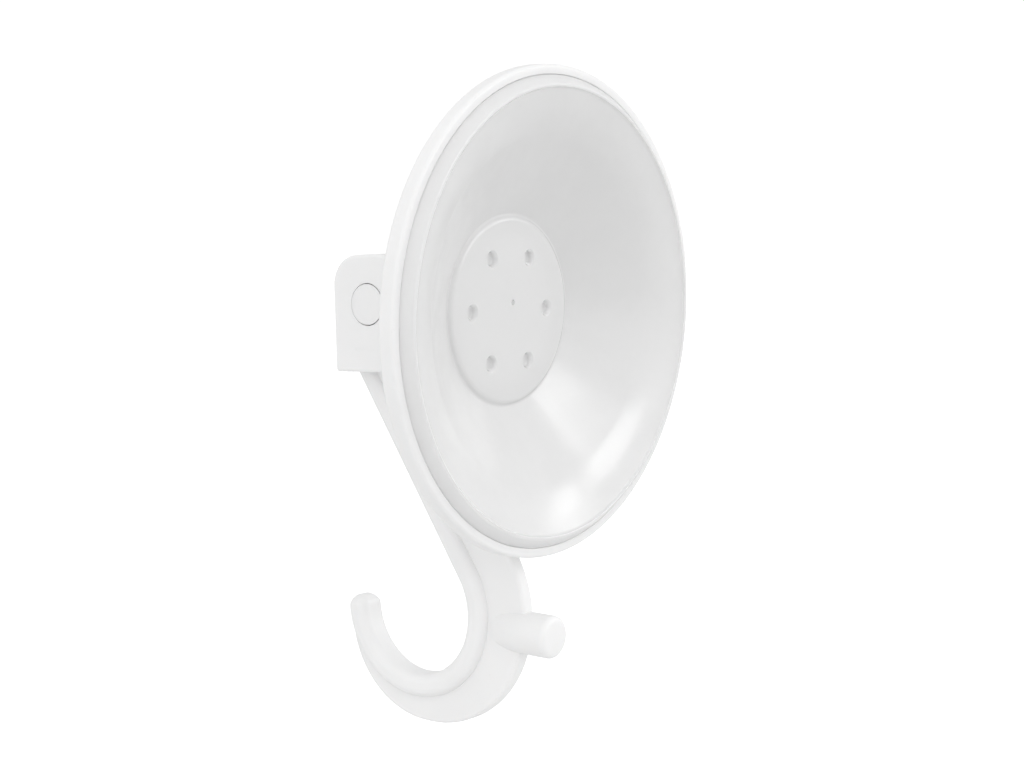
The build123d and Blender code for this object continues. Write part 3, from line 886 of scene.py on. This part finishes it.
class HOOK_OT_lever(bpy.types.Operator):
    """Models the lever: the cam head, the arm, the beaded hook and the wall peg, in one moulding"""
    bl_idname = "hook.lever"
    bl_label = "Lever"

    def execute(self, context):
        s = context.scene.hook_lever
        throat = (-s.throat_outward, -s.throat_drop)
        lever = as_object(self.head(s), "lever")
        cut(lever, self.bores(s))
        cut(lever, self.slot(s))
        for side in (-1, 1):
            cut(lever, self.mould_line(s, side))
        for arm in (self.bead(s, throat), self.web(s, throat)):
            cut(lever, arm, "UNION")
        cut(lever, self.peg(s), "UNION")
        smooth(lever)
        finish = context.scene.hook_finishes
        material = white_moulding("lever plastic", finish, finish.white, 0.4, grain=0.45, scratches=0.8)
        seat(lever, material, "white_plastic", "lever", "lever_hook")
        return {"FINISHED"}

    def cam_point(self, s, angle):
        """A point of the cam, whose reach falls evenly as the lever opens by an angle."""
        pitch = (s.head_reach - s.head_top) / (math.pi / 2 + s.top_lean)
        reach = s.head_reach - pitch * angle
        return (reach * math.cos(angle) + pitch * math.sin(angle) - s.pin_depth,
                reach * math.sin(angle) - pitch * math.cos(angle))

    def crossing(self, s, a, distance_a, b, distance_b):
        """Where two faces of the head meet, each given by its normal's angle and its distance from the pin."""
        det = math.sin(b - a)
        return ((distance_a * math.sin(b) - distance_b * math.sin(a)) / det - s.pin_depth,
                (distance_b * math.cos(a) - distance_a * math.cos(b)) / det)

    def head(self, s):
        top, outer, bottom = math.pi / 2 + s.top_lean, math.pi + s.head_lean, 1.5 * math.pi + s.bottom_lean
        upper = self.crossing(s, top, s.head_top, outer, s.head_outer)
        lower = self.crossing(s, outer, s.head_outer, bottom, s.head_bottom)
        foot = self.crossing(s, bottom, s.head_bottom, 0.0, s.head_reach)
        pen = Pen(self.cam_point(s, 0.0))
        pen.line(*[self.cam_point(s, top * k / CAM_STEPS) for k in range(1, CAM_STEPS + 1)])
        pen.line(upper, lower, foot)
        return pen.plate(s.head_half, s.head_rounding, 5, wide=[(upper, s.head_corner)], crisp=(lower, foot))

    def mould_line(self, s, side):
        """A shallow line across the lower part of a cheek."""
        return block((2 * s.line_depth, s.line_length, s.line_width), (side * s.head_half, -s.pin_depth, -s.line_drop))

    def arm_top(self, s, start):
        """Where a line that climbs the arm from start ends, inside the foot of the head."""
        rise = s.arm_root - s.head_bottom - start[1]
        return (start[0] - rise * math.tan(s.arm_slope), start[1] + rise)

    def bead(self, s, throat):
        """The thick bead that runs from inside the head down the arm and round the throat to the hook's tip."""
        inner, outer = s.throat_radius, s.throat_radius + s.bead_thickness
        tip = s.tip_drop - math.pi
        sweep = s.arm_slope - tip
        neck_in, neck_out = polar(throat, inner, s.arm_slope), polar(throat, outer, s.arm_slope)
        tip_centre = polar(throat, (inner + outer) / 2, tip)
        face = (math.pi + s.head_lean, s.head_outer - BURIED)
        reach = (neck_in[0] + s.pin_depth) * math.cos(s.arm_slope) + neck_in[1] * math.sin(s.arm_slope)
        pen = Pen(self.crossing(s, *face, 1.5 * math.pi, s.head_bottom - s.arm_root))
        pen.line(self.crossing(s, *face, s.arm_slope, reach))
        pen.line(neck_in).arc(throat, -sweep, THROAT_STEPS).arc(tip_centre, math.pi, TIP_STEPS)
        pen.arc(throat, sweep, THROAT_STEPS)
        pen.line(self.arm_top(s, neck_out))
        bm = pen.plate(s.bead_half, s.bead_rounding, 7)
        self.dome(bm, s, tip_centre, Vector((math.sin(tip), -math.cos(tip))), throat)
        return bm

    def dome(self, bm, s, centre, onward, throat):
        """Narrows the hook's tip towards its end, as a ball narrows."""
        for v in bm.verts:
            past = min(1.0, (v.co.yz - Vector(centre)).dot(onward) / (s.bead_thickness / 2))
            if past > 0.0 and v.co.y < throat[0]:
                v.co.x *= math.sqrt(1.0 - s.tip_dome * past * past)

    def web(self, s, throat):
        """The thinner web outside the bead, down the arm and round the hook's wall side and room side."""
        tip = s.tip_drop - math.pi
        belly = (throat[0] + s.belly_inset, -s.belly_drop)
        heel = (belly[0] - s.web_flat, belly[1] - s.belly_radius + s.heel_radius)
        inner = s.throat_radius + s.bead_thickness / 2
        neck_in, neck_out = polar(throat, inner, s.arm_slope), polar(belly, s.belly_radius, s.arm_slope)
        pen = Pen(self.arm_top(s, neck_in))
        pen.line(neck_in).arc(throat, tip - s.web_setback - s.arm_slope, THROAT_STEPS)
        pen.line(polar(heel, s.heel_radius, tip)).arc(heel, -math.pi / 2 - tip, HEEL_STEPS)
        pen.line((belly[0], belly[1] - s.belly_radius)).arc(belly, math.pi / 2 + s.arm_slope, BELLY_STEPS)
        pen.line(self.arm_top(s, neck_out))
        return pen.plate(s.web_half, s.web_rounding, 4)

    def peg(self, s):
        """The peg that props the hook off the wall, with a cone that runs back over the web."""
        back = s.peg_root + s.peg_cone_length
        bm = turned([(0.0, s.peg_end), (s.peg_radius, s.peg_end, s.peg_rounding, 5), (s.peg_radius, s.peg_root),
                     (s.peg_cone_radius, back), (0.0, back)], PEG_STEPS)
        thin_end = [v for v in bm.verts if v.co.y < -back + 1e-6]
        bmesh.ops.scale(bm, verts=thin_end, vec=(0.5, 1.0, 1.5))
        round_off(bm, ring_edges(bm, s.peg_radius, s.peg_root), s.peg_blend, 6)
        return move(bm, (0.0, 0.0, -s.peg_drop))

    def slot(self, s):
        """The slot that lets the head swing about the post, from the foot round to the top."""
        past, r = SLOT_REACH, s.slot_radius
        lean = Matrix.Rotation(s.top_lean, 2)
        top = lean @ Vector((-r, past))
        pin = (-s.pin_depth, 0.0)
        pen = Pen((pin[0] + past, -r)).line((pin[0], -r)).arc(pin, s.top_lean - math.pi / 2, CAM_STEPS)
        pen.line((pin[0] + top.x, top.y), (pin[0] + past, past))
        return pen.plate(s.slot_half)

    def bores(self, s):
        """The bores through both cheeks, with a chamfer at each mouth."""
        r, end, m = s.pin_radius + s.bore_gap, s.head_half, s.mouth
        past, wide = end + CUT_PAST, r + m + CUT_PAST
        bm = turned([(0.0, -past), (wide, -past), (r, m - end), (r, end - m), (wide, past), (0.0, past)], BORE_STEPS)
        return along_pin(bm, s.pin_depth - s.bore_wear)


class HOOK_PT_panel(bpy.types.Panel):
    """Lists the pieces of the hook and its stage"""
    bl_idname = "HOOK_PT_panel"
    bl_label = "Suction hook"
    bl_space_type = "VIEW_3D"
    bl_region_type = "UI"
    bl_category = "Suction hook"

    def draw(self, context):
        for operator in OPERATORS:
            self.layout.operator(operator.bl_idname)
        for owner in SETTINGS:
            settings = getattr(context.scene, owner)
            box = self.layout.box()
            for name in settings.bl_rna.properties.keys():
                if name not in ("rna_type", "name"):
                    box.prop(settings, name)


OPERATORS = (HOOK_OT_camera, HOOK_OT_stage, HOOK_OT_stud, HOOK_OT_cup, HOOK_OT_dish, HOOK_OT_pin, HOOK_OT_lever)
SETTINGS = {"hook_cup": CupSizes, "hook_dish": DishSizes, "hook_lever": LeverSizes, "hook_finishes": Finishes,
            "hook_studio": Studio}


def register():
    for cls in (*SETTINGS.values(), *OPERATORS, HOOK_PT_panel):
        bpy.utils.register_class(cls)
    for name, cls in SETTINGS.items():
        setattr(bpy.types.Scene, name, PointerProperty(type=cls))


def unregister():
    for name in SETTINGS:
        delattr(bpy.types.Scene, name)
    for cls in reversed((*SETTINGS.values(), *OPERATORS, HOOK_PT_panel)):
        bpy.utils.unregister_class(cls)


def main():
    register()
    for operator in OPERATORS:
        call = getattr(bpy.ops.hook, operator.bl_idname.split(".")[1])
        if call() != {"FINISHED"}:
            raise RuntimeError(operator.bl_label + " did not finish")


if __name__ == "__main__":
    main()
